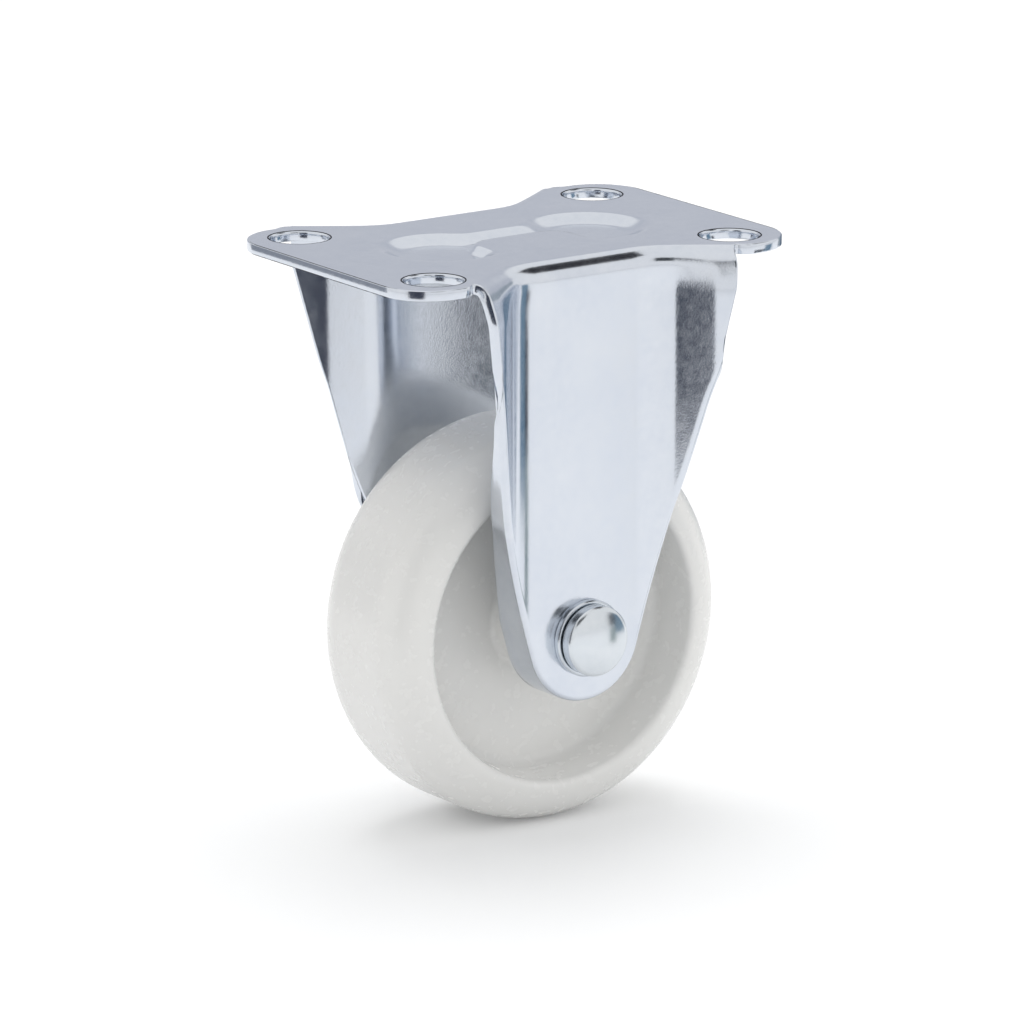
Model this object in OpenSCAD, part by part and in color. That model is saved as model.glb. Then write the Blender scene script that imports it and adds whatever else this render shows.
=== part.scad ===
// Rigid plate castor: a folded zinc-plated steel housing with four fixing holes,
// a moulded nylon wheel, and a riveted axle with its tube and two washers.
// Origin: centre of the four-hole pattern on the plate's top face. X is the rolling
// direction, Y is the axle direction, and everything hangs below z = 0.

/* [Plate] */
// Spacing of the fixing holes along X
hole_span_x = 44; // [42:0.5:46]
// Spacing of the fixing holes along Y
hole_span_y = 29; // [27:0.5:31]
// Diameter of the fixing holes
hole_d = 7.2; // [5.5:0.1:8]
// Width of the softened rim round each fixing hole
hole_rim = 0.3; // [0.1:0.05:0.5]
// Length of the plate along X
plate_len = 57.6; // [56:0.2:62]
// Width of the plate along Y, across the ears
plate_wid = 40.6; // [39.6:0.2:42]
// Radius of the plate's corners
corner_r = 6.3; // [4:0.1:8]
// Thickness of the steel sheet
sheet = 1.3; // [1:0.1:1.6]

/* [Pressed recess] */
// Distance of each round dish from the middle of the plate
dish_x = 10.8; // [10:0.1:11.4]
// Radius of each round dish
dish_r = 7.8; // [7.2:0.1:8.2]
// Depth of the pressed recess
dish_depth = 1; // [0.5:0.1:1.2]
// Far side of the channel that joins the two dishes
channel_far = 4.8; // [4:0.1:6]
// Near side of the channel, which is the end of the raised tongue
channel_near = 0.5; // [-0.5:0.1:1.5]
// Half width of the raised tongue
tongue_half = 7; // [6:0.1:7.6]
// Radius of the tongue's corners
tongue_r = 3; // [2:0.1:4]
// Growth of the pressing from its top to its underside
press_grow = 0.7; // [0.3:0.1:1]

/* [Legs] */
// Distance from the middle plane to a leg's outer face
leg_out = 15.3; // [15.1:0.1:16]
// Outer radius of the fold between plate and leg
fold_r = 2.4; // [2.1:0.1:2.8]
// Half width of the leg's flat panel
flat_half = 7.5; // [6.5:0.1:8]
// Outside radius of the bend between the panel and its flared edge
flare_r = 5; // [4:0.1:6]
// Angle of the flared edges
flare_angle = 36.5; // [34:0.5:38]
// Half width of the leg at the plate
leg_top_half = 18.6; // [18:0.1:19]
// Half width of the leg at its knee
knee_half = 12.5; // [12:0.1:13]
// Depth of the knee below the plate
knee_drop = 33.5; // [31:0.5:35]
// Radius of the round lower end of the leg
lobe_r = 8; // [7.8:0.1:8.6]
// Depth below the plate at which the turned-in edge starts
hem_start_drop = 12; // [10:0.5:15]
// Distance from the middle plane of the turned-in edge where it starts
hem_start_y = 19.6; // [19:0.1:20]
// Depth below the plate from which the turned-in edge keeps its full depth
hem_full_drop = 45; // [43:0.5:46]
// Distance from the middle plane of the turned-in edge at its full depth
hem_full_y = 10.4; // [10:0.1:11]

/* [Axle] */
// Depth of the axle below the plate's top face
axle_drop = 47.5; // [47:0.1:48.5]
// Diameter of the rivet's shank
shank_d = 6; // [5:0.1:6.4]
// Radial clearance of the shank in the legs, the washers and the tube
shank_gap = 0.05; // [0.02:0.01:0.1]
// Diameter of the rivet's domed head
head_d = 8.8; // [8.4:0.1:9.4]
// Height of the straight side of the domed head
head_side = 1.7; // [1.2:0.1:2]
// Height of the dome
dome_h = 0.9; // [0.6:0.1:1.2]
// Diameter of the closed end of the rivet
closed_d = 8.4; // [8:0.1:9]
// Height of the closed end of the rivet
closed_h = 1.6; // [1.2:0.1:2]
// Diameter of the washers
washer_d = 9.6; // [9.5:0.1:10.4]
// Thickness of the washers
washer_t = 0.9; // [0.6:0.1:1]
// Chamfer on the edges of washers and rivet ends
edge_cut = 0.15; // [0.05:0.05:0.2]
// Outside diameter of the tube on which the wheel runs
tube_d = 8; // [7.6:0.1:8.2]

/* [Wheel] */
// Diameter of the wheel
wheel_d = 50; // [48:0.5:51]
// Half width of the straight part of the tread
tread_half = 4; // [3:0.1:4.2]
// Radius of the tread's round shoulders
shoulder_r = 5.7; // [5.2:0.1:5.8]
// Radius of the recess in the wheel's side, at its floor
recess_floor_r = 18.6; // [18:0.1:18.8]
// Half thickness of the web
web_half = 2.6; // [2:0.1:3]
// Radius of the fillet between the web and the rim
web_fillet = 1.4; // [0.8:0.1:1.8]
// Diameter of the hub boss
hub_d = 11.6; // [11.4:0.1:12]
// Half length of the hub boss
hub_half = 12.3; // [11.8:0.1:12.4]
// Radial running clearance between the hub's bore and the tube
run_gap = 0.06; // [0.03:0.01:0.1]
// Distance by which the wheel stands nearer to the domed head
wheel_shift = 1.3; // [0:0.1:1.4]

/* [Hidden] */
$fn = 96;
cut = 0.5;
overlap = 0.13;
hair = 0.01;
far = 60;
leg_in = leg_out - sheet;
shank_hole_d = shank_d + 2 * shank_gap;
wheel_r = wheel_d / 2;
shoulder_centre_r = wheel_r - shoulder_r;
rim_half = tread_half + shoulder_r;
knee_up = axle_drop - knee_drop;
knee_far = sqrt(knee_half * knee_half + knee_up * knee_up);
side_r = lobe_r - 2 * hair;
touch_angle = atan2(knee_up, knee_half) - acos(side_r / knee_far);
top_angle = atan2(leg_top_half - knee_half, knee_drop);
lower_normal = [cos(touch_angle), sin(touch_angle)];
upper_normal = [cos(top_angle), -sin(top_angle)];
knee_mitre = (lower_normal + upper_normal) / (1 + lower_normal * upper_normal);

// Plan of everything outside a leg's face, moved inwards by e
module beyond_leg(e) {
    translate([-flat_half, leg_out - e])
        square([2 * flat_half, far]);
    beyond_flare(e);
    mirror([1, 0])
        beyond_flare(e);
}

// The part of that plan beyond one flared edge
module beyond_flare(e) {
    centre = [flat_half, leg_out + flare_r];
    touch = centre + (flare_r + e - hair) * [sin(flare_angle), -cos(flare_angle)];
    end = touch + far * [cos(flare_angle), sin(flare_angle)];
    translate(centre)
        circle(flare_r + e);
    polygon([centre, touch, end, [end[0], leg_out + far], [flat_half, leg_out + far]]);
}

// Plan of what the fold takes away from the flat plate on one side
module fold_plan() {
    intersection() {
        beyond_leg(fold_r);
        square([2 * leg_top_half, far * 2], center = true);
    }
}

// Sides of a leg's outline seen along Y, made smaller all round by e
module side_outline(e) {
    touch = (side_r - e) * lower_normal - [0, axle_drop];
    knee = [knee_half, -knee_drop] - e * knee_mitre;
    top = [leg_top_half - e / cos(top_angle), 0] + cut * [tan(top_angle), 1];
    polygon([
        touch, knee, top,
        [-top[0], top[1]], [-knee[0], knee[1]], [-touch[0], touch[1]]
    ]);
}

// Round lower end of that outline, made smaller all round by e
module lobe_outline(e) {
    translate([0, -axle_drop])
        circle(lobe_r - e);
}

// What a leg's outline keeps of the children
module within_outline() {
    intersection() {
        along_y(-cut, far)
            side_outline(0);
        children();
    }
    intersection() {
        along_y(-cut, far)
            lobe_outline(0);
        children();
    }
}

// Prism along Y of an outline drawn in X and Z
module along_y(from, to) {
    translate([0, to, 0])
        rotate([90, 0, 0])
            linear_extrude(to - from)
                children();
}

// Prism along X of a profile drawn in Y and Z
module along_x(half) {
    rotate([90, 0, 90])
        linear_extrude(2 * half, center = true)
            children();
}

module rounded_plate() {
    for (x = [-1, 1], y = [-1, 1])
        translate([x * (plate_len / 2 - corner_r), y * (plate_wid / 2 - corner_r)])
            circle(corner_r);
    square([plate_len, plate_wid - 2 * corner_r], center = true);
    square([plate_len - 2 * corner_r, plate_wid], center = true);
}

// Plan of the pressed recess, grown all round by e
module recess_plan(e) {
    difference() {
        union() {
            for (x = [-1, 1])
                translate([x * dish_x, 0])
                    circle(dish_r + e);
            translate([-dish_x, 0])
                square([2 * dish_x, channel_far + e]);
        }
        tongue_plan(e);
    }
}

// Plan of the raised tongue, made smaller all round by e
module tongue_plan(e) {
    half = tongue_half - e;
    round = tongue_r - e;
    for (x = [-1, 1])
        translate([x * (half - round), channel_near - e - round])
            circle(round);
    translate([-half, -far])
        square([2 * half, far + channel_near - e - round]);
    translate([-half + round, -far])
        square([2 * (half - round), far + channel_near - e]);
}

// Section of the fold with its centre at the origin, thinner than the sheet by e on each
// face and with short ends that reach into the plate and the leg
module fold_section(e) {
    inner = fold_r - sheet + e;
    thick = sheet - 2 * e;
    intersection() {
        difference() {
            circle(inner + thick);
            circle(inner);
        }
        square(far);
    }
    translate([-cut, inner])
        square([cut, thick]);
    translate([inner, -cut])
        square([thick, cut]);
}

// Fold between the plate and one leg
module fold_strip() {
    translate([0, leg_out - fold_r, -fold_r])
        along_x(flat_half)
            fold_section(hair);
    flare_fold();
    mirror([1, 0, 0])
        flare_fold();
}

// Fold along one bend and its flared edge
module flare_fold() {
    translate([flat_half, leg_out + flare_r, -fold_r])
        rotate([0, 0, -90]) {
            rotate_extrude(angle = flare_angle)
                translate([flare_r + fold_r, 0])
                    mirror([1, 0])
                        fold_section(hair);
            rotate([0, 0, flare_angle])
                translate([flare_r + fold_r, -cut, 0])
                    rotate([90, 0, 180])
                        linear_extrude(2 * leg_top_half)
                            fold_section(4 * hair);
        }
}

// Room of the edge turned inwards, deepest round the axle
module hem_room() {
    intersection() {
        along_x(leg_top_half)
            polygon([
                [hem_start_y, -hem_start_drop],
                [hem_full_y, -hem_full_drop],
                [hem_full_y, -far],
                [far, -far],
                [far, -hem_start_drop]
            ]);
        translate([0, 0, -far - cut])
            linear_extrude(far)
                difference() {
                    translate([-far, 0])
                        square([2 * far, far]);
                    beyond_leg(sheet / 2);
                }
    }
}

module hem() {
    difference() {
        within_outline()
            hem_room();
        along_y(-cut, 2 * far)
            side_outline(sheet);
        along_y(-cut, 2 * far)
            lobe_outline(sheet);
    }
}

// Upright sheet of a leg
module leg_sheet() {
    translate([0, 0, -far])
        linear_extrude(far - fold_r)
            difference() {
                beyond_leg(sheet);
                beyond_leg(0);
            }
}

module leg() {
    within_outline()
        leg_sheet();
    intersection() {
        fold_strip();
        along_y(0, far)
            side_outline(0);
    }
    hem();
}

module housing() {
    color([0.78, 0.81, 0.84])
    difference() {
        union() {
            translate([0, 0, -sheet])
                linear_extrude(sheet)
                    difference() {
                        rounded_plate();
                        fold_plan();
                        mirror([0, 1])
                            fold_plan();
                    }
            translate([0, 0, -sheet - dish_depth])
                linear_extrude(dish_depth + sheet / 2)
                    recess_plan(press_grow);
            leg();
            mirror([0, 1, 0])
                leg();
        }
        translate([0, 0, -dish_depth])
            linear_extrude(dish_depth + cut)
                recess_plan(0);
        for (x = [-1, 1], y = [-1, 1])
            translate([x * hole_span_x / 2, y * hole_span_y / 2, 0]) {
                translate([0, 0, -sheet - cut])
                    cylinder(d = hole_d, h = sheet + 2 * cut);
                translate([0, 0, -hole_rim])
                    cylinder(d1 = hole_d, d2 = hole_d + 2 * hole_rim, h = hole_rim);
            }
        translate([0, 0, -axle_drop])
            rotate([90, 0, 0])
                cylinder(d = shank_hole_d, h = 2 * far, center = true);
    }
}

// Half of the wheel's section: x is the radius and y the distance from its middle
module wheel_section() {
    difference() {
        union() {
            translate([shoulder_centre_r, tread_half])
                intersection() {
                    circle(shoulder_r);
                    translate([-shoulder_r, 0])
                        square(2 * shoulder_r);
                }
            square([wheel_r, tread_half]);
        }
        polygon([
            [0, web_half],
            [recess_floor_r, web_half],
            [shoulder_centre_r, rim_half],
            [shoulder_centre_r, rim_half + cut],
            [0, rim_half + cut]
        ]);
    }
    rim_fillet();
    square([hub_d / 2, hub_half]);
}

// Fillet between the web and the leaning wall of the recess
module rim_fillet() {
    lean = atan2(shoulder_centre_r - recess_floor_r, rim_half - web_half);
    reach = web_fillet / tan(45 + lean / 2);
    wall_touch = reach * [sin(lean), cos(lean)];
    translate([recess_floor_r, web_half])
        difference() {
            polygon([
                [-reach, web_fillet], [-reach, -overlap], [overlap, -overlap],
                wall_touch + [overlap, 0], wall_touch
            ]);
            translate([-reach, web_fillet])
                circle(web_fillet);
        }
}

module wheel() {
    color([0.93, 0.93, 0.9])
    translate([0, -wheel_shift, -axle_drop])
        rotate([90, 0, 0])
            difference() {
                rotate_extrude() {
                    wheel_section();
                    mirror([0, 1])
                        wheel_section();
                }
                cylinder(d = tube_d + 2 * run_gap, h = 2 * hub_half + 2 * cut, center = true);
            }
}

// Disc along Y with both edges chamfered, from y = 0 outwards
module soft_disc(d, h) {
    rotate([90, 0, 180])
        rotate_extrude()
            polygon([
                [0, 0], [d / 2 - edge_cut, 0], [d / 2, edge_cut],
                [d / 2, h - edge_cut], [d / 2 - edge_cut, h], [0, h]
            ]);
}

module axle_rivet() {
    dome_r = (head_d * head_d / 4 + dome_h * dome_h) / (2 * dome_h);
    seat = leg_out + washer_t;
    color([0.83, 0.86, 0.88])
    translate([0, 0, -axle_drop]) {
        translate([0, seat + cut, 0])
            rotate([90, 0, 0])
                cylinder(d = shank_d, h = 2 * seat + 2 * cut);
        translate([0, seat, 0])
            soft_disc(closed_d, closed_h);
        translate([0, -seat, 0])
            rotate([90, 0, 0])
                rotate_extrude() {
                    polygon([
                        [0, 0], [head_d / 2 - edge_cut, 0], [head_d / 2, edge_cut],
                        [head_d / 2, head_side], [0, head_side]
                    ]);
                    intersection() {
                        translate([0, head_side + dome_h - dome_r])
                            circle(dome_r);
                        translate([0, head_side])
                            square([head_d, dome_h + cut]);
                    }
                }
    }
}

module washer() {
    difference() {
        soft_disc(washer_d, washer_t);
        rotate([90, 0, 0])
            cylinder(d = shank_hole_d, h = 4 * washer_t, center = true);
    }
}

module head_washer() {
    color([0.7, 0.74, 0.78])
    translate([0, -leg_out - washer_t, -axle_drop])
        washer();
}

module closing_washer() {
    color([0.7, 0.74, 0.78])
    translate([0, leg_out, -axle_drop])
        washer();
}

module axle_tube() {
    color([0.62, 0.64, 0.66])
    translate([0, 0, -axle_drop])
        rotate([90, 0, 0])
            difference() {
                cylinder(d = tube_d, h = 2 * leg_in, center = true);
                cylinder(d = shank_hole_d, h = 2 * leg_in + 2 * cut, center = true);
            }
}

housing();
wheel();
axle_rivet();
head_washer();
closing_washer();
axle_tube();
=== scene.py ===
import math
import bpy
import bmesh
from mathutils import Matrix, Vector


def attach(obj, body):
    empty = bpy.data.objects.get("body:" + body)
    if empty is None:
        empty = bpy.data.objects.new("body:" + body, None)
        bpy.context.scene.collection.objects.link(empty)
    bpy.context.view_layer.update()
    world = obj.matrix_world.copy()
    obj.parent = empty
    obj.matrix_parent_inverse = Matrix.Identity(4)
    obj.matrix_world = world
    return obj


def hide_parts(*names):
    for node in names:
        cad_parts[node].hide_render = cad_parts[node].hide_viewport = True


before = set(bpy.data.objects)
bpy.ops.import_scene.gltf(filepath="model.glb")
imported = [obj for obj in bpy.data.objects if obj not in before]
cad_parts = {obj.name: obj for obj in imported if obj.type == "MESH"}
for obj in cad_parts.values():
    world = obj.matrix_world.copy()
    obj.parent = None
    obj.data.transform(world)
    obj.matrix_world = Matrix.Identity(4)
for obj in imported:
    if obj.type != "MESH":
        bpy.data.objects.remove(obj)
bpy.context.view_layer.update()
mm = 0.001
mergeGap = 0.0005  # vertices closer than this are one, in millimetres
print("frame loaded")


cameraSettings = {
    "azimuth": -35.0,        # degrees round the castor, 0 looks along +Y
    "elevation": 14.01,      # degrees above the horizon
    "distance": 0.9869,      # metres from the aim point
    "aimHeight": -0.02858,
    "pitch": -0.0062,        # small extra tilt, in radians
    "slideRight": -0.00033,  # metres the camera moves to its own right
    "lens": 281.25,
}


def direction(azimuth, elevation):
    a, e = math.radians(azimuth), math.radians(elevation)
    return Vector((math.sin(a) * math.cos(e), -math.cos(a) * math.cos(e), math.sin(e)))


def addCamera(settings):
    back = direction(settings["azimuth"], settings["elevation"])
    a = math.radians(settings["azimuth"])
    right = Vector((math.cos(a), math.sin(a), 0))
    up = back.cross(right)
    data = bpy.data.cameras.new("photoCamera")
    data.sensor_width = 36
    data.lens = settings["lens"]
    data.clip_start, data.clip_end = 0.01, 50
    camera = bpy.data.objects.new("photoCamera", data)
    bpy.context.collection.objects.link(camera)
    camera.location = (Vector((0, 0, settings["aimHeight"])) + back * settings["distance"]
                       + right * settings["slideRight"])
    look = -back * math.cos(settings["pitch"]) + up * math.sin(settings["pitch"])
    camera.rotation_mode = "QUATERNION"
    camera.rotation_quaternion = look.to_track_quat("-Z", "Y")
    bpy.context.scene.camera = camera


addCamera(cameraSettings)
bpy.context.scene.view_settings.view_transform = "Standard"
print("camera placed")


class Wire:
    # A node tree's output socket; arithmetic on it adds Math nodes

    def __init__(self, tree, socket):
        self.tree, self.socket = tree, socket

    def math(self, operation, *others):
        values = dict(enumerate((self,) + others))
        return addNode(self.tree, "ShaderNodeMath", {"operation": operation}, values)[0]

    def __add__(self, other):
        return self.math("ADD", other)

    def __sub__(self, other):
        return self.math("SUBTRACT", other)

    def __mul__(self, other):
        return self.math("MULTIPLY", other)

    def __rsub__(self, other):
        return addNode(self.tree, "ShaderNodeMath", {"operation": "SUBTRACT"},
                       {0: other, 1: self})[0]

    __radd__ = __add__
    __rmul__ = __mul__

    def clamped(self, low, high):
        return self.math("MAXIMUM", low).math("MINIMUM", high)


def addNode(tree, kind, settings=None, inputs=None):
    # One node of any kind: its settings first, then the values or links of its sockets
    node = tree.nodes.new(kind)
    for name, value in (settings or {}).items():
        setattr(node, name, value)
    for name, value in (inputs or {}).items():
        if isinstance(value, Wire):
            tree.links.new(value.socket, node.inputs[name])
        else:
            node.inputs[name].default_value = value
    return [Wire(tree, s) for s in node.outputs]


def startMaterial(name):
    material = bpy.data.materials.new(name)
    material.use_nodes = True
    material.node_tree.nodes.clear()
    return material, material.node_tree


def endMaterial(tree, shader):
    output = tree.nodes.new("ShaderNodeOutputMaterial")
    tree.links.new(shader.socket, output.inputs["Surface"])


def noise(tree, place, scale, detail=2.0, roughness=0.5):
    return addNode(tree, "ShaderNodeTexNoise", None, {
        "Vector": place, "Scale": scale, "Detail": detail, "Roughness": roughness})[0]


def colourMix(tree, factor, a, b):
    return addNode(tree, "ShaderNodeMix", {"data_type": "RGBA"}, {0: factor, 6: a, 7: b})[2]


def objectPlace(tree):
    return addNode(tree, "ShaderNodeTexCoord")[3]  # its Object output


platingMix = {
    "cloudShare": 0.6, "spangleShare": 0.4, "tintStart": 0.35, "tintGain": 2.2,
    "grainHeight": 0.6, "spangleHeight": 0.4, "roughnessLow": 0.05, "roughnessHigh": 0.6,
}

zincSettings = {
    "light": (0.73, 0.76, 0.81, 1), "dark": (0.64, 0.68, 0.75, 1),
    "cloudScale": 140.0, "grainScale": 4200.0, "spangleScale": 900.0,
    "roughness": 0.16, "roughnessSpread": 0.10, "bump": 0.55, "bumpDepth": 0.000016,
}


def zincMaterial(name, settings, mix):
    material, tree = startMaterial(name)
    place = objectPlace(tree)
    cloud = noise(tree, place, settings["cloudScale"], 3.0, 0.6)
    spangle = noise(tree, place, settings["spangleScale"], 2.0, 0.7)
    grain = noise(tree, place, settings["grainScale"], 2.0, 0.6)
    tint = cloud * mix["cloudShare"] + spangle * mix["spangleShare"] - mix["tintStart"]
    tint = (tint * mix["tintGain"]).clamped(0.0, 1.0)
    colour = colourMix(tree, tint, settings["dark"], settings["light"])
    rough = (settings["roughness"] + (spangle - 0.5) * settings["roughnessSpread"]
             + (cloud - 0.5) * settings["roughnessSpread"])
    rough = rough.clamped(mix["roughnessLow"], mix["roughnessHigh"])
    height = grain * mix["grainHeight"] + spangle * mix["spangleHeight"]
    bump = addNode(tree, "ShaderNodeBump", None, {
        "Strength": settings["bump"], "Distance": settings["bumpDepth"], "Height": height})[0]
    shader = addNode(tree, "ShaderNodeBsdfPrincipled", None, {
        "Base Color": colour, "Metallic": 1.0, "Roughness": rough, "Normal": bump})[0]
    endMaterial(tree, shader)
    return material


rivetSettings = {
    "light": (0.74, 0.77, 0.80, 1), "dark": (0.66, 0.70, 0.74, 1),
    "cloudScale": 220.0, "grainScale": 3000.0, "spangleScale": 1200.0,
    "roughness": 0.2, "roughnessSpread": 0.06, "bump": 0.05, "bumpDepth": 0.00002,
}

washerSettings = {
    "light": (0.70, 0.74, 0.78, 1), "dark": (0.58, 0.62, 0.67, 1),
    "cloudScale": 220.0, "grainScale": 3000.0, "spangleScale": 1200.0,
    "roughness": 0.2, "roughnessSpread": 0.08, "bump": 0.06, "bumpDepth": 0.00002,
}

tubeSettings = {
    "light": (0.60, 0.61, 0.63, 1), "dark": (0.50, 0.51, 0.53, 1),
    "cloudScale": 300.0, "grainScale": 2500.0, "spangleScale": 1200.0,
    "roughness": 0.3, "roughnessSpread": 0.1, "bump": 0.08, "bumpDepth": 0.00002,
}

nylonSettings = {
    "light": (0.885, 0.882, 0.862, 1), "dark": (0.875, 0.872, 0.85, 1),
    "cloudScale": 60.0, "fineScale": 700.0, "tintStart": 0.3, "tintGain": 2.0,
    "roughness": 0.27, "roughnessSpread": 0.04, "roughnessLow": 0.1, "roughnessHigh": 0.6,
    "refraction": 1.53,
}


def nylonMaterial(name, settings):
    material, tree = startMaterial(name)
    place = objectPlace(tree)
    cloud = noise(tree, place, settings["cloudScale"])
    fine = noise(tree, place, settings["fineScale"])
    tint = ((cloud - settings["tintStart"]) * settings["tintGain"]).clamped(0.0, 1.0)
    colour = colourMix(tree, tint, settings["dark"], settings["light"])
    rough = settings["roughness"] + (fine - 0.5) * settings["roughnessSpread"]
    rough = rough.clamped(settings["roughnessLow"], settings["roughnessHigh"])
    shader = addNode(tree, "ShaderNodeBsdfPrincipled", None, {
        "Base Color": colour, "Roughness": rough, "IOR": settings["refraction"]})[0]
    endMaterial(tree, shader)
    return material


zinc = zincMaterial("zincPlatedSheet", zincSettings, platingMix)
rivetZinc = zincMaterial("polishedRivet", rivetSettings, platingMix)
washerZinc = zincMaterial("washerZinc", washerSettings, platingMix)
tubeSteel = zincMaterial("drawnTube", tubeSettings, platingMix)
nylon = nylonMaterial("whiteNylon", nylonSettings)
print("materials made")


def finishPiece(bm, name, material, body, replaced):
    # Shapes are made in millimetres and become metres here
    bmesh.ops.scale(bm, vec=(mm, mm, mm), verts=bm.verts)
    mesh = bpy.data.meshes.new(name)
    bm.to_mesh(mesh)
    bm.free()
    mesh.materials.append(material)
    mesh.shade_smooth()
    piece = bpy.data.objects.new(name, mesh)
    bpy.context.collection.objects.link(piece)
    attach(piece, body)
    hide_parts(*replaced)


def roundedPath(corners, steps):
    # Corners are (across, out, radius); each corner with a radius becomes an arc
    path = []
    count = len(corners)
    for i, (x, y, radius) in enumerate(corners):
        if radius <= 0 or i in (0, count - 1):
            path.append((x, y))
            continue
        here = Vector((x, y))
        before = Vector(corners[i - 1][:2]) - here
        after = Vector(corners[i + 1][:2]) - here
        before.normalize()
        after.normalize()
        half = before.angle(after) / 2
        reach = radius / math.tan(half)
        centre = here + (before + after).normalized() * (radius / math.sin(half))
        start = here + before * reach - centre
        turn = math.pi - 2 * half
        sign = 1 if start.x * after.y - start.y * after.x > 0 else -1
        for k in range(steps + 1):
            a = sign * turn * k / steps
            path.append((centre.x + start.x * math.cos(a) - start.y * math.sin(a),
                         centre.y + start.x * math.sin(a) + start.y * math.cos(a)))
    return path


def spunPiece(name, path, height, steps, material, body, replaced, closed=False):
    # path holds (y, radius) pairs; the piece is turned round an axis along Y at that height
    bm = bmesh.new()
    verts = [bm.verts.new((0, y, height + r)) for y, r in path]
    edges = [bm.edges.new((a, b)) for a, b in zip(verts, verts[1:])]
    if closed:
        edges.append(bm.edges.new((verts[-1], verts[0])))
    bmesh.ops.spin(bm, geom=verts + edges, cent=(0, 0, height), axis=(0, 1, 0),
                   angle=2 * math.pi, steps=steps, use_merge=True)
    bmesh.ops.remove_doubles(bm, verts=bm.verts, dist=mergeGap)
    bmesh.ops.recalc_face_normals(bm, faces=bm.faces)
    finishPiece(bm, name, material, body, replaced)


housing = {
    "sheet": 1.3, "plateHalf": 28.8, "plateSide": 20.3, "corner": 6.3,
    "holeX": 22.0, "holeY": 14.5, "holeRadius": 3.6, "holeRim": 0.36, "edgeRound": 0.14,
    "legOut": 15.3, "bendEnd": 19.5, "notchLead": 0.4, "foldFlare": 2.2,
    "foldRadius": {-1: 2.4, 1: 1.7},  # -1 is the near leg, on the domed head's side
    "farShift": 0.6, "shiftDrop": 36.0,
    # Each leg seen from above: its face's angle at distances from the middle of its width
    "slopes": {
        -1: [(0, 0), (7.4, 0), (8.6, 5), (11.6, 32), (12.2, 46), (15.6, 46), (16.2, 33), (21, 33)],
        1: [(0, 0), (7.4, 0), (8.4, 8), (10.9, 33.5), (14.7, 33.5), (15.3, 46), (21, 46)],
    },
    "topSlopes": [(0, 0), (7.2, 0), (11.8, 33), (21, 37)], "topStart": 0.8, "topBlend": 4.5,
    "topHalf": 18.6, "kneeHalf": 12.5, "kneeDrop": 33.5, "kneeBlend": 2.2,
    "lobe": 8.0, "axleDrop": 47.5,
    "hemRadius": 0.62, "hemInset": 0.5, "hemThin": 0.46,
    "hemStart": {-1: 10.5, 1: 29.0}, "hemFull": {-1: 20.0, 1: 39.0},
    "hemReachDelay": 4.5, "hemReachRun": 14,
    "hemEdgeHigh": 19.6, "hemEdgeLow": 10.4, "hemEdgeFrom": 12, "hemEdgeRun": 33,
    "dishX": 10.8, "dishRadius": 7.8, "dishDepth": 1.0, "dishSlope": 3.0,
    "dishBlend": 1.2, "recessMargin": 0.2,
    "channelFar": 4.8, "tongueHalf": 7.0, "tongueEnd": 0.5, "tongueRadius": 3.0, "tongueSlope": 1.1,
}


def smooth(t):
    t = min(max(t, 0), 1)
    return t * t * (3 - 2 * t)


def softMax(a, b, k):
    h = max(k - abs(a - b), 0) / k
    return max(a, b) + h * h * k / 4


def recessDepth(x, y, s):
    x = abs(x)
    dish = math.hypot(x - s["dishX"], y) - s["dishRadius"]
    channel = max(x - s["dishX"], -y, y - s["channelFar"])
    outer = -softMax(-dish, -channel, s["dishBlend"])
    inX = x - (s["tongueHalf"] - s["tongueRadius"])
    inY = y - (s["tongueEnd"] - s["tongueRadius"])
    tongue = (math.hypot(max(inX, 0), max(inY, 0)) + min(max(inX, inY), 0)) - s["tongueRadius"]
    sunk = smooth((s["recessMargin"] - outer) / s["dishSlope"])
    return s["dishDepth"] * sunk * smooth((s["recessMargin"] + tongue) / s["tongueSlope"])


planStep, planCount = 0.02, 1101


def planTable(slopes, start):
    # The leg from above: at each step its face's distance from the middle plane and its angle
    table, y = [], start
    for k in range(planCount):
        x = k * planStep
        for (x0, a0), (x1, a1) in zip(slopes, slopes[1:]):
            if x <= x1:
                break
        angle = math.radians(a0 + (a1 - a0) * min(max((x - x0) / (x1 - x0), 0), 1))
        table.append((y, angle))
        y += math.tan(angle) * planStep
    return table


def planAt(table, x):
    place = min(abs(x) / planStep, len(table) - 1.001)
    k = int(place)
    (ya, aa), (yb, ab) = table[k], table[k + 1]
    return ya + (yb - ya) * (place - k), aa + (ab - aa) * (place - k)


def planInside(table, x, inward):
    # The same face moved towards the wheel by a distance square to the sheet
    low, high = 0.0, abs(x)
    for _ in range(26):
        middle = (low + high) / 2
        if middle + inward * math.sin(planAt(table, middle)[1]) > abs(x):
            high = middle
        else:
            low = middle
    y, angle = planAt(table, low)
    return y - inward * math.cos(angle)


def sideAngle(s):
    # Angle below the axle at which the leg's straight side meets its round end
    up = s["axleDrop"] - s["kneeDrop"]
    far = math.hypot(s["kneeHalf"], up)
    return -(math.atan2(up, s["kneeHalf"]) - math.acos(s["lobe"] / far))


def outlineHalf(drop, s):
    # Half the leg's width at this depth below the plate
    touch = sideAngle(s)
    touchDrop = s["axleDrop"] + s["lobe"] * math.sin(touch)
    touchHalf = s["lobe"] * math.cos(touch)
    upper = (s["topHalf"] - s["kneeHalf"]) / s["kneeDrop"]
    lower = (s["kneeHalf"] - touchHalf) / (touchDrop - s["kneeDrop"])
    a = s["topHalf"] - upper * drop
    b = s["kneeHalf"] - lower * (drop - s["kneeDrop"])
    return -softMax(-a, -b, s["kneeBlend"])


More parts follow.
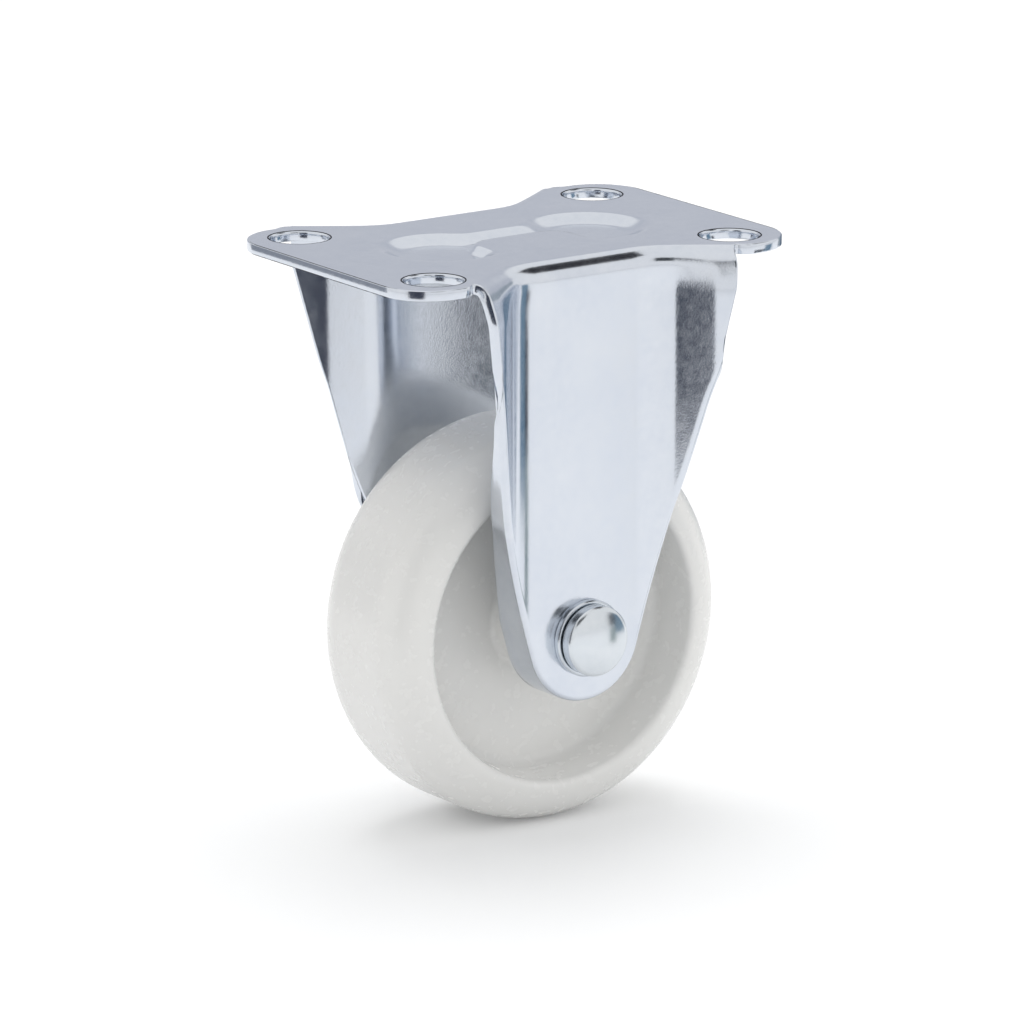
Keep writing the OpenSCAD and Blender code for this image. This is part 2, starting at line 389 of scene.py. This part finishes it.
def hemTurn(drop, side, s):
    # Share of the hem's full turn at this depth below the plate; the far leg's starts lower
    return smooth((drop - s["hemStart"][side]) / (s["hemFull"][side] - s["hemStart"][side]))


def hemEdge(drop, s):
    # Distance of the hem's free edge from the middle plane
    share = min(max((drop - s["hemEdgeFrom"]) / s["hemEdgeRun"], 0), 1)
    return s["hemEdgeHigh"] + (s["hemEdgeLow"] - s["hemEdgeHigh"]) * share


def rimAngles(rim, centre):
    # Walks an opened hole's ragged rim and spreads its vertices evenly round the circle
    loop = [rim[0].verts[0], rim[0].verts[1]]
    left = set(rim[1:])
    while left:
        following = [e for e in loop[-1].link_edges if e in left]
        if not following:
            break
        left.discard(following[0])
        loop.append(following[0].other_vert(loop[-1]))
    loop = loop[:-1]
    angles = [math.atan2(v.co.y - centre.y, v.co.x - centre.x) for v in loop]
    for i in range(1, len(angles)):
        angles[i] += 2 * math.pi * round((angles[i - 1] - angles[i]) / (2 * math.pi))
    turn = 2 * math.pi * (1 if angles[-1] > angles[0] else -1)
    for _ in range(60):
        before = [angles[-1] - turn] + angles[:-1]
        after = angles[1:] + [angles[0] + turn]
        angles = [(a + 2 * b + c) / 4 for a, b, c in zip(before, angles, after)]
    return dict(zip(loop, angles))


def housingSheet(s):
    bm = bmesh.new()
    starts = {-1: s["legOut"], 1: s["legOut"] + s["farShift"]}
    plans = {side: planTable(s["slopes"][side], start) for side, start in starts.items()}
    tops = {side: planTable(s["topSlopes"], start) for side, start in starts.items()}
    folds = s["foldRadius"]
    bendEnd = s["bendEnd"]
    cornerX = s["plateHalf"] - s["corner"]
    legColumns, notchColumns, cornerColumns = 66, 12, 22
    tiny = 1e-6
    halfColumns = [bendEnd * k / legColumns for k in range(legColumns + 1)]
    halfColumns += [bendEnd + (cornerX - bendEnd) * k / notchColumns
                    for k in range(1, notchColumns + 1)]
    halfColumns += [cornerX + s["corner"] * math.sin(math.pi / 2 * k / cornerColumns)
                    for k in range(1, cornerColumns + 1)]
    columns = [-x for x in reversed(halfColumns[1:])] + halfColumns
    plateRows, foldRows, legRows, lobeRows = 42, 12, 52, 14
    half = plateRows + foldRows + legRows + lobeRows
    inset = s["hemInset"]
    lobe = s["lobe"] - inset
    touch = sideAngle(s)

    def faceAngle(x, side):
        return planAt(plans[side], x)[1]

    def legY(x, inward, drop, side):
        # The face's distance from the middle plane; the fold's slopes ease into the leg's
        top = planInside(tops[side], x, inward) if inward else planAt(tops[side], x)[0]
        share = smooth((drop - s["topStart"]) / s["topBlend"])
        y = top + (planAt(plans[side], x)[0] - planAt(tops[side], x)[0]) * share
        if side > 0:
            y -= s["farShift"] * smooth(drop / s["shiftDrop"])  # the far leg leans in to its washer
        return y

    def plateEdge(x, side):
        x = abs(x)
        y = legY(min(x, cornerX), folds[side], 0, side)
        y += (s["plateSide"] - y) * smooth((x - bendEnd + s["notchLead"]) / (cornerX - bendEnd))
        if x <= cornerX:
            return y
        rounding = math.sqrt(max(s["corner"] ** 2 - (x - cornerX) ** 2, 0))
        return s["plateSide"] - s["corner"] + rounding

    def sheetPoint(x, row):
        # The outer skin: row counts outwards from the plate's middle, x is the column's place
        side = -1 if row < 0 else 1
        row = abs(row)
        fold = folds[side]
        if row <= plateRows:
            y = row / plateRows * plateEdge(x, side) * side
            return x, y, -recessDepth(x, y, s)
        share = x / bendEnd
        if row <= plateRows + foldRows:
            turn = math.pi / 2 * (row - plateRows) / foldRows
            drop = fold * (1 - math.cos(turn))
            width = outlineHalf(drop, s)
            width += (bendEnd - width) * max(0, 1 - fold * turn / s["foldFlare"]) ** 2
            x = share * width
            return x, side * legY(x, fold * (1 - math.sin(turn)), drop, side), -drop
        if row <= plateRows + foldRows + legRows:
            k = (row - plateRows - foldRows) / legRows
            drop = fold + k * (s["axleDrop"] + lobe * math.sin(touch) - fold)
            width = outlineHalf(drop, s)
            width -= inset * hemTurn(drop, side, s)
        else:
            k = (row - plateRows - foldRows - legRows) / lobeRows
            a = touch + (math.pi / 2 - touch) * k
            drop = s["axleDrop"] + lobe * math.sin(a)
            width = lobe * math.cos(a)
        x = share * width
        return x, side * legY(x, 0, drop, side), -drop

    # A flat grid of the whole blank, then every vertex goes to its place on the folded sheet
    nx, ny = len(columns) - 1, 2 * half
    bmesh.ops.create_grid(bm, x_segments=nx, y_segments=ny, size=1)
    column = bm.verts.layers.int.new("column")
    line = bm.verts.layers.int.new("line")
    for v in bm.verts:
        v[column] = round((v.co.x + 1) / 2 * nx)
        v[line] = round((v.co.y + 1) / 2 * ny) - half
    spare = [v for v in bm.verts
             if abs(v[line]) > plateRows and abs(columns[v[column]]) > bendEnd + tiny]
    bmesh.ops.delete(bm, geom=spare, context="VERTS")
    for v in bm.verts:
        v.co = sheetPoint(columns[v[column]], v[line])
    bmesh.ops.remove_doubles(bm, verts=bm.verts, dist=mergeGap)
    print("sheet grid folded")

    # Round holes: the grid opens round each one and its rim is drawn in to the hole's edge
    around = bm.verts.layers.float.new("around")
    openMargin, rimMargin, rimSteps = 0.7, 1.5, (0.95, 0.55, 0.2, 0.0)
    plateDeep = 0.6  # vertices below this aren't on the plate's face
    for hx in (-s["holeX"], s["holeX"]):
        for hy in (-s["holeY"], s["holeY"]):
            centre = Vector((hx, hy, 0))
            opened = [v for v in bm.verts if v.co.z > -plateDeep
                      and (v.co - centre).length < s["holeRadius"] + openMargin]
            bmesh.ops.delete(bm, geom=opened, context="VERTS")
            rim = [e for e in bm.edges if e.is_boundary and all(
                (v.co - centre).length < s["holeRadius"] + rimMargin for v in e.verts)]
            for v, angle in rimAngles(rim, centre).items():
                v[around] = angle
            for extra in rimSteps:
                for v in {v for e in rim for v in e.verts}:
                    out = Vector((math.cos(v[around]), math.sin(v[around]), 0))
                    v.co = centre + out * (s["holeRadius"] + extra)
                if extra > 0:
                    made = bmesh.ops.extrude_edge_only(bm, edges=rim)["geom"]
                    rim = [g for g in made if isinstance(g, bmesh.types.BMEdge) and g.is_boundary]
    print("holes opened")

    # The hem: the leg's outline is extruded in rings round the turned-in edge
    station = bm.verts.layers.int.new("station")
    outward = bm.verts.layers.float_vector.new("outward")
    edgeColumn = max(i for i, x in enumerate(columns) if x <= bendEnd + tiny)
    ringCount, arcRings = 12, 9  # the last rings are the flat part of the hem
    lead, halfStep, lobeMargin, ringGap = 0.6, 0.3, 2, 0.0008
    for side in (-1, 1):
        outline = []
        for sign, wanted in ((1, edgeColumn), (-1, nx - edgeColumn)):
            found = [v for v in bm.verts if v.is_boundary and v.co.y * side > 0
                     and v[column] == wanted and abs(v[line]) > plateRows + foldRows
                     and -v.co.z > s["hemStart"][side] - lead and v.co.x * sign > 0.05]
            found.sort(key=lambda v: abs(v[line]))
            outline += found if sign > 0 else found[::-1]
        lowest = min((v for v in bm.verts if v.co.y * side > 0), key=lambda v: v.co.z)
        if lowest not in outline:
            outline.insert(len([v for v in outline if v.co.x > 0]), lowest)
        tables = {}
        for i, v in enumerate(outline):
            v[station] = i + 1
            a = outline[max(i - 1, 0)].co
            b = outline[min(i + 1, len(outline) - 1)].co
            if -v.co.z < s["axleDrop"] - lobeMargin:  # the straight sides follow the drawn outline
                places = [(d, outlineHalf(d, s)) for d in (-v.co.z - halfStep, -v.co.z + halfStep)]
                a, b = (Vector((math.copysign(w, v.co.x), side * planAt(plans[side], w)[0], -d))
                        for d, w in places)
            lean = faceAngle(v.co.x, side)
            out = Vector((-math.sin(lean) * (1 if v.co.x > 0 else -1), side * math.cos(lean), 0))
            away = (b - a).normalized().cross(out).normalized()
            middle = Vector((0, side * s["legOut"], max(v.co.z, -s["axleDrop"])))
            if (v.co - middle).dot(away) < 0:
                away.negate()
            thin = 1 - (1 - s["hemThin"]) * hemTurn(-v.co.z, side, s)
            tables[i + 1] = (v.co.copy(), away, out, lean, thin)
            v[outward] = out * thin
        ringEdges = [e for e in bm.edges if e.is_boundary
                     and all(v[station] and v.co.y * side > 0 for v in e.verts)]
        for k in range(1, ringCount + 1):
            made = bmesh.ops.extrude_edge_only(bm, edges=ringEdges)["geom"]
            ringEdges = [g for g in made if isinstance(g, bmesh.types.BMEdge)
                         and g.is_boundary and g.verts[0][station] != g.verts[1][station]]
            for v in {v for e in ringEdges for v in e.verts}:
                start, away, out, lean, thin = tables[v[station]]
                share = hemTurn(-start.z, side, s)
                full = (math.pi / 2 + lean) * share
                turn = full * min(k / arcRings, 1)
                v.co = start + s["hemRadius"] * (away * math.sin(turn) - out * (1 - math.cos(turn)))
                v[outward] = (out * math.cos(turn) + away * math.sin(turn)) * thin
                if k > arcRings:
                    below = -start.z - s["hemStart"][side] - s["hemReachDelay"]
                    reach = max(abs(v.co.y) - hemEdge(-start.z, s), 0)
                    reach *= smooth(below / s["hemReachRun"])
                    reach += (s["sheet"] - s["hemRadius"]) * share  # at least the sheet's own edge
                    inward = away * math.cos(full) - out * math.sin(full)
                    v.co += inward * reach * (k - arcRings) / (ringCount - arcRings)
        for v in bm.verts:
            v[station] = 0
    bmesh.ops.remove_doubles(bm, verts=bm.verts, dist=ringGap)
    print("hem turned in")

    # Thickness: a second skin one sheet further in, with walls along every open edge
    bmesh.ops.recalc_face_normals(bm, faces=bm.faces)
    if max(bm.faces, key=lambda f: f.calc_center_median().z).normal.z < 0:
        bmesh.ops.reverse_faces(bm, faces=bm.faces)
    bm.normal_update()
    isInner = bm.verts.layers.int.new("inner")
    shortest, rimReach = 0.5, 0.1
    for v in bm.verts:
        # Not set on the plate and the leg's face, and too short where the hem is fully turned,
        # so there the sheet keeps its whole thickness
        if v[outward].length < shortest:
            v[outward] = v.normal
    made = bmesh.ops.extrude_face_region(bm, geom=list(bm.faces), use_keep_orig=True)["geom"]
    for v in made:
        if isinstance(v, bmesh.types.BMVert):
            v.co -= v[outward] * s["sheet"]
            v[isInner] = 1
    bmesh.ops.recalc_face_normals(bm, faces=bm.faces)
    walls = {f for f in bm.faces if len({v[isInner] for v in f.verts}) == 2}
    holeEdges, otherEdges = [], []
    for e in bm.edges:
        if len(e.link_faces) != 2 or (e.link_faces[0] in walls) == (e.link_faces[1] in walls):
            continue
        middle = (e.verts[0].co + e.verts[1].co) / 2
        away = math.hypot(abs(middle.x) - s["holeX"], abs(middle.y) - s["holeY"])
        if away < s["holeRadius"] + rimReach and middle.z > -rimReach:
            holeEdges.append(e)
        else:
            otherEdges.append(e)
    bmesh.ops.bevel(bm, geom=holeEdges, offset=s["holeRim"], offset_type="OFFSET", segments=4,
                    profile=0.5, affect="EDGES", clamp_overlap=False, material=-1)
    otherEdges = [e for e in otherEdges if e.is_valid]
    bmesh.ops.bevel(bm, geom=otherEdges, offset=s["edgeRound"], offset_type="OFFSET", segments=2,
                    profile=0.5, affect="EDGES", clamp_overlap=False, material=-1)
    print("sheet given its thickness,", len(bm.faces), "faces")
    finishPiece(bm, "housingSheet", zinc, "fork", ["housing"])


housingSheet(housing)


wheel = {
    "radius": 25.0, "treadHalf": 4.0, "shoulder": 5.7, "recessFloor": 18.6, "webHalf": 2.6,
    "webFillet": 1.4, "rimEdge": 0.8, "hubRadius": 5.8, "hubHalf": 12.3, "hubEdge": 0.4,
    "hubFillet": 1.0, "bore": 4.06, "boreChamfer": 0.25, "shift": 1.3, "axleDrop": 47.5,
}


def wheelPath(s):
    centre = s["radius"] - s["shoulder"]
    shoulderSteps, firstStep = 24, 3
    half = [(0, s["bore"], 0), (s["hubHalf"] - s["boreChamfer"], s["bore"], 0),
            (s["hubHalf"], s["bore"] + s["boreChamfer"], 0),
            (s["hubHalf"], s["hubRadius"], s["hubEdge"]),
            (s["webHalf"], s["hubRadius"], s["hubFillet"]),
            (s["webHalf"], s["recessFloor"], s["webFillet"]),
            (s["treadHalf"] + s["shoulder"], centre, s["rimEdge"])]
    for k in range(firstStep, shoulderSteps + 1):
        a = math.pi / 2 * k / shoulderSteps
        half.append((s["treadHalf"] + s["shoulder"] * math.cos(a),
                     centre + s["shoulder"] * math.sin(a), 0))
    half.append((s["treadHalf"] / 2, s["radius"], 0))
    half.append((0, s["radius"], 0))
    path = roundedPath(half, 8)
    other = [(-y, r) for y, r in reversed(path[1:-1])]
    return [(y - s["shift"], r) for y, r in path + other]


spunPiece("nylonWheel", wheelPath(wheel), -wheel["axleDrop"], 192, nylon, "wheel",
          ["wheel"], closed=True)
print("wheel turned")


axle = {
    "drop": 47.5, "legOut": 15.3, "washer": 0.9, "washerRadius": 4.8, "shank": 3.0, "bore": 3.05,
    "headRadius": 4.4, "headSide": 1.7, "headRound": 0.12,
    "dome": 0.9, "domeInset": 0.3, "domeRise": 0.15,
    "groove": 0.28, "grooveRound": 0.06, "grooveWall": 0.26, "grooveDepth": 1.0,
    "closedRadius": 4.2, "closedHeight": 1.6, "closedSide": 0.5, "closedInset": 0.9,
    "closedRounds": (0.1, 0.3, 0.4),
    "washerTaper": 0.02, "washerTaperRun": 0.15, "washerEdge": 0.18, "washerRound": 0.12,
    "boreChamfer": 0.05,
}


def rivetPath(s):
    seat = s["legOut"] + s["washer"]
    r, side, dome = s["headRadius"], s["headSide"], s["dome"]
    rise, domeSteps = s["domeRise"], 16
    domeOut, floor = r - s["domeInset"], r - s["grooveDepth"]
    closedOut, closedEnd = s["closedRadius"], seat + s["closedHeight"]
    innerRound, outerRound, endRound = s["closedRounds"]
    corners = [(-seat - side - dome, 0, 0)]
    domeRadius = (domeOut ** 2 + (dome - rise) ** 2) / (2 * (dome - rise))
    for k in range(1, domeSteps + 1):
        out = domeOut * k / domeSteps
        lift = domeRadius - math.sqrt(domeRadius ** 2 - out ** 2)
        corners.append((-seat - side - dome + lift, out, 0))
    corners += [(-seat - side + rise, r, s["headRound"]),
                (-seat - s["groove"], r, s["grooveRound"]),
                (-seat - s["grooveWall"], floor, 0), (-seat, floor, 0),
                (-seat, s["shank"], 0), (seat, s["shank"], 0), (seat, closedOut, innerRound),
                (closedEnd - s["closedSide"], closedOut, outerRound),
                (closedEnd, closedOut - s["closedInset"], endRound), (closedEnd, 0, 0)]
    return roundedPath(corners, 4)


def washerPath(s, side):
    a, b, r = s["legOut"], s["legOut"] + s["washer"], s["washerRadius"]
    edge, bend, chamfer = s["washerEdge"], s["washerRound"], s["boreChamfer"]
    corners = [(a, s["bore"], 0), (a, r - s["washerTaper"], 0), (a + s["washerTaperRun"], r, 0),
               (b - edge, r, bend), (b, r - edge, bend),
               (b, s["bore"] + chamfer, 0), (b - chamfer, s["bore"], 0)]
    return [(side * y, out) for y, out in roundedPath(corners, 3)]


spunPiece("rivet", rivetPath(axle), -axle["drop"], 128, rivetZinc,
          "fork", ["axle_rivet"])
spunPiece("headWasher", washerPath(axle, -1), -axle["drop"], 128, washerZinc,
          "fork", ["head_washer"], closed=True)
spunPiece("closingWasher", washerPath(axle, 1), -axle["drop"], 128, washerZinc,
          "fork", ["closing_washer"], closed=True)
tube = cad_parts["axle_tube"]
tube.data.materials.clear()
tube.data.materials.append(tubeSteel)
print("axle made")


studio = {
    "floor": -0.0725, "floorGap": 0.00005, "floorHalf": 4,
    "floorColour": (0.84, 0.845, 0.85, 1), "floorLift": 0.15,
    "worldStrength": 0.76, "worldSeen": 0.94,
    # Each lamp's azimuth, elevation, distance, size and power
    "softboxes": {
        "overheadSoftbox": (150, 72, 0.9, 0.6, 3.8),
        "rightSoftbox": (60, 22, 0.9, 0.6, 0.6),
    },
    # Each card's azimuth, elevation, distance, width, height and colour
    "cards": {
        "backCard": (145, 14, 1.2, 2.4, 0.62, (0.60, 0.615, 0.665, 1)),
        "gapCard": (73, 51, 0.8, 0.52, 0.27, (0.03, 0.03, 0.035, 1)),
        "cameraSideCard": (-58.5, 8, 0.152, 0.082, 0.18, (0.05, 0.057, 0.08, 1)),
        "headDarkCard": (-14, 33, 0.8, 0.4, 0.3, (0.05, 0.055, 0.06, 1)),
        "rightCard": (119, -4, 0.24, 0.085, 0.15, (0.09, 0.14, 0.21, 1)),
        "rightPaleCard": (101, -4, 0.24, 0.065, 0.15, (0.34, 0.385, 0.425, 1)),
        "tealCard": (58, -14, 0.17, 0.055, 0.06, (0.16, 0.26, 0.35, 1)),
        "innerDarkCard": (43.2, -20, 0.107, 0.016, 0.020, (0.06, 0.066, 0.08, 1)),
        "innerGreenCard": (43.2, -31, 0.117, 0.016, 0.026, (0.30, 0.36, 0.36, 1)),
        "leftBackCard": (-145, -4, 0.3, 0.16, 0.16, (0.30, 0.32, 0.36, 1)),
    },
}


def emitMaterial(name, colour):
    material, tree = startMaterial(name)
    glow = addNode(tree, "ShaderNodeEmission", None, {"Color": colour, "Strength": 1.0})[0]
    endMaterial(tree, glow)
    return material


def addFloor(s):
    bm = bmesh.new()
    bmesh.ops.create_grid(bm, x_segments=4, y_segments=4, size=s["floorHalf"],
                          matrix=Matrix.Translation((0, 0, s["floor"] - s["floorGap"])))
    mesh = bpy.data.meshes.new("floor")
    bm.to_mesh(mesh)
    bm.free()
    material, tree = startMaterial("paleFloor")
    rays = addNode(tree, "ShaderNodeLightPath")
    diffuse = addNode(tree, "ShaderNodeBsdfDiffuse", None, {"Color": s["floorColour"]})[0]
    seen = (rays[0] + rays[3]).clamped(0, 1)  # camera and glossy rays
    lift = addNode(tree, "ShaderNodeEmission", None, {
        "Color": (1, 1, 1, 1), "Strength": seen * s["floorLift"]})[0]
    endMaterial(tree, addNode(tree, "ShaderNodeAddShader", None, {0: diffuse, 1: lift})[0])
    mesh.materials.append(material)
    floor = bpy.data.objects.new("floor", mesh)
    bpy.context.collection.objects.link(floor)


def addCard(name, azimuth, elevation, distance, width, height, colour):
    # A flat card that only reflections see
    bm = bmesh.new()
    place = direction(azimuth, elevation)
    turn = place.to_track_quat("Z", "Y").to_matrix().to_4x4()
    bmesh.ops.create_grid(bm, x_segments=1, y_segments=1, size=0.5)
    bmesh.ops.scale(bm, vec=(width, height, 1), verts=bm.verts)
    bmesh.ops.transform(bm, matrix=Matrix.Translation(place * distance) @ turn, verts=bm.verts)
    mesh = bpy.data.meshes.new(name)
    bm.to_mesh(mesh)
    bm.free()
    mesh.materials.append(emitMaterial(name, colour))
    card = bpy.data.objects.new(name, mesh)
    bpy.context.collection.objects.link(card)
    card.visible_camera = False
    card.visible_diffuse = False
    card.visible_shadow = False
    card.visible_transmission = False


def addWorld(s):
    world = bpy.data.worlds.new("studio")
    bpy.context.scene.world = world
    world.use_nodes = True
    tree = world.node_tree
    tree.nodes.clear()
    rays = addNode(tree, "ShaderNodeLightPath")
    seen = (rays[0] + rays[3] + rays[6]).clamped(0, 1)  # camera, glossy and transmission rays
    strength = s["worldStrength"] + (s["worldSeen"] - s["worldStrength"]) * seen
    strength = strength + (1 - s["worldSeen"]) * rays[0]
    background = addNode(tree, "ShaderNodeBackground", None, {
        "Color": (1, 1, 1, 1), "Strength": strength})[0]
    output = tree.nodes.new("ShaderNodeOutputWorld")
    tree.links.new(background.socket, output.inputs["Surface"])


def addSoftbox(name, azimuth, elevation, distance, size, power):
    data = bpy.data.lights.new(name, "AREA")
    data.shape = "SQUARE"
    data.size = size
    data.energy = power
    lamp = bpy.data.objects.new(name, data)
    bpy.context.collection.objects.link(lamp)
    lamp.location = direction(azimuth, elevation) * distance
    lamp.rotation_mode = "QUATERNION"
    lamp.rotation_quaternion = direction(azimuth, elevation).to_track_quat("Z", "Y")
    lamp.visible_glossy = False


addFloor(studio)
addWorld(studio)
for name, values in studio["softboxes"].items():
    addSoftbox(name, *values)
for name, values in studio["cards"].items():
    addCard(name, *values)
print("studio set")
